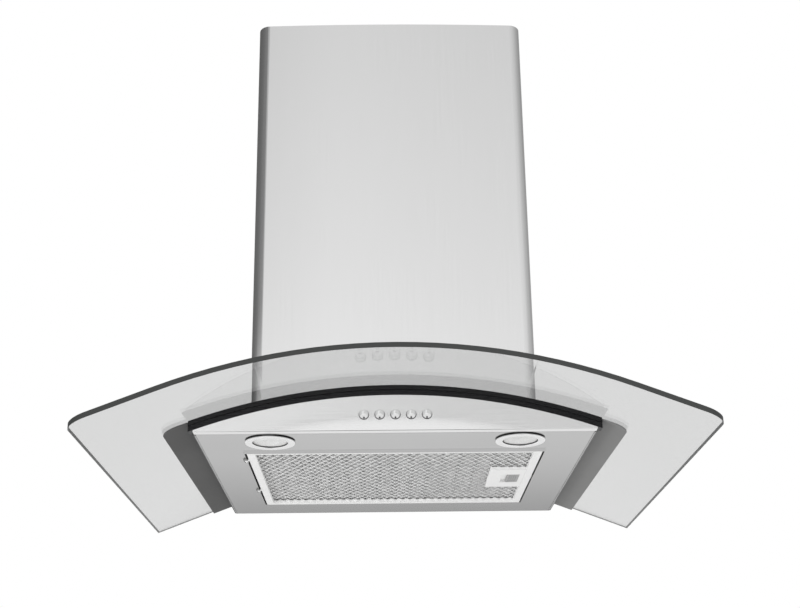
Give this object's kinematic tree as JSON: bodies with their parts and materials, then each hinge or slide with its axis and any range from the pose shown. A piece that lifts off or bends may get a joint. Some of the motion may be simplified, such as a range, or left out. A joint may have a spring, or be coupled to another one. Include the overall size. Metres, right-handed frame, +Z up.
{
  "type": "curved glass range hood",
  "caption": "Wall-mounted range hood with an arched glass canopy, telescopic steel chimney, hinged grease filter, recessed lamps, push buttons and a centrifugal blower.",
  "frame": {"origin": "centre of the four wall-fixing holes, on the back face of the wall plate (the wall plane)", "axes": "+Z up, +Y towards the wall, +X to the right seen from the front"},
  "size_m": [0.596, 0.493, 0.5792],
  "materials": {
    "steel": "fine brushed, satin",
    "dark_steel": "satin, in the shade of the glass",
    "glass": "clear, faintly grey, polished edge",
    "black_trim": "black, satin gloss",
    "chrome": "polished",
    "filter_rim": "satin extruded",
    "filter_mesh": "expanded mesh",
    "lamp_glass": "frosted",
    "reflector": "polished",
    "galvanised": "galvanised, dull",
    "housing_plastic": "moulded, matt",
    "white_plastic": "moulded, matt",
    "motor_metal": "painted, satin",
    "rubber": "matt",
    "zinc": "zinc plated"
  },
  "bodies": {
    "hood": {"glass_canopy": "glass", "glass_gasket": "rubber", "glass_screws": "zinc", "glass_washers": "rubber", "canopy_shell": "steel", "front_panel": "steel", "front_trim": "black_trim", "side_wing_left": "dark_steel", "side_wing_right": "dark_steel", "bottom_pan": "steel", "hinge_brackets": "galvanised", "hinge_pins": "zinc", "lamp_bezel_left": "chrome", "lamp_lens_left": "lamp_glass", "lamp_reflector_left": "reflector", "lamp_bulb_left": "lamp_glass", "lamp_bezel_right": "chrome", "lamp_lens_right": "lamp_glass", "lamp_reflector_right": "reflector", "lamp_bulb_right": "lamp_glass", "switch_block": "housing_plastic", "chimney_lower": "steel", "chimney_clips": "galvanised", "chimney_screws": "zinc", "wall_plate": "galvanised", "motor_box": "galvanised", "fan_housing": "galvanised", "inlet_ring": "galvanised", "motor": "motor_metal", "motor_spacers": "rubber", "outlet_collar": "housing_plastic", "damper_pin": "zinc", "capacitor": "white_plastic", "capacitor_clip": "galvanised", "lamp_transformer": "white_plastic", "terminal_box": "housing_plastic", "terminal_cover": "housing_plastic", "cable_gland": "housing_plastic"},
    "filter": {"filter_frame": "filter_rim", "filter_mesh_lower": "filter_mesh", "filter_core": "filter_mesh", "filter_mesh_upper": "filter_mesh", "filter_latch_plate": "filter_rim"},
    "latch": {"filter_latch": "housing_plastic"},
    "fan": {"impeller": "galvanised", "motor_shaft": "zinc"},
    "flap_front": {"damper_flap_front": "white_plastic"},
    "flap_back": {"damper_flap_back": "white_plastic"},
    "chimney_slider": {"chimney_upper": "steel", "ceiling_bracket": "galvanised"},
    "button_1": {"button_1": "chrome"},
    "button_2": {"button_2": "chrome"},
    "button_3": {"button_3": "chrome"},
    "button_4": {"button_4": "chrome"},
    "button_5": {"button_5": "chrome"}
  },
  "joints": [
    {"name": "button_1_press", "type": "slide", "parent": "hood", "child": "button_1", "axis": [0, 1, 0], "range_m": [0, 0.0022], "stiffness_N_per_m": 400},
    {"name": "button_2_press", "type": "slide", "parent": "hood", "child": "button_2", "axis": [0, 1, 0], "range_m": [0, 0.0022], "stiffness_N_per_m": 400},
    {"name": "button_3_press", "type": "slide", "parent": "hood", "child": "button_3", "axis": [0, 1, 0], "range_m": [0, 0.0022], "stiffness_N_per_m": 400},
    {"name": "button_4_press", "type": "slide", "parent": "hood", "child": "button_4", "axis": [0, 1, 0], "range_m": [0, 0.0022], "stiffness_N_per_m": 400},
    {"name": "button_5_press", "type": "slide", "parent": "hood", "child": "button_5", "axis": [0, 1, 0], "range_m": [0, 0.0022], "stiffness_N_per_m": 400},
    {"name": "filter_swing", "type": "hinge", "parent": "hood", "child": "filter", "pos_m": [-0.1587, -0.2, -0.12], "axis": [0, 1, 0], "range_deg": [0, 80]},
    {"name": "latch_slide", "type": "slide", "parent": "filter", "child": "latch", "axis": [-1, 0, 0], "range_m": [0, 0.005], "stiffness_N_per_m": 300},
    {"name": "fan_spin", "type": "hinge", "parent": "hood", "child": "fan", "pos_m": [0, -0.1, 0.03], "axis": [1, 0, 0], "continuous": true},
    {"name": "flap_front_lift", "type": "hinge", "parent": "hood", "child": "flap_front", "pos_m": [0, -0.1545, 0.19465], "axis": [-1, 0, 0], "range_deg": [0, 78]},
    {"name": "flap_back_lift", "type": "hinge", "parent": "hood", "child": "flap_back", "pos_m": [0, -0.1545, 0.19465], "axis": [1, 0, 0], "range_deg": [0, 78]},
    {"name": "chimney_extend", "type": "slide", "parent": "hood", "child": "chimney_slider", "axis": [0, 0, 1], "range_m": [0, 0.3]}
  ]
}
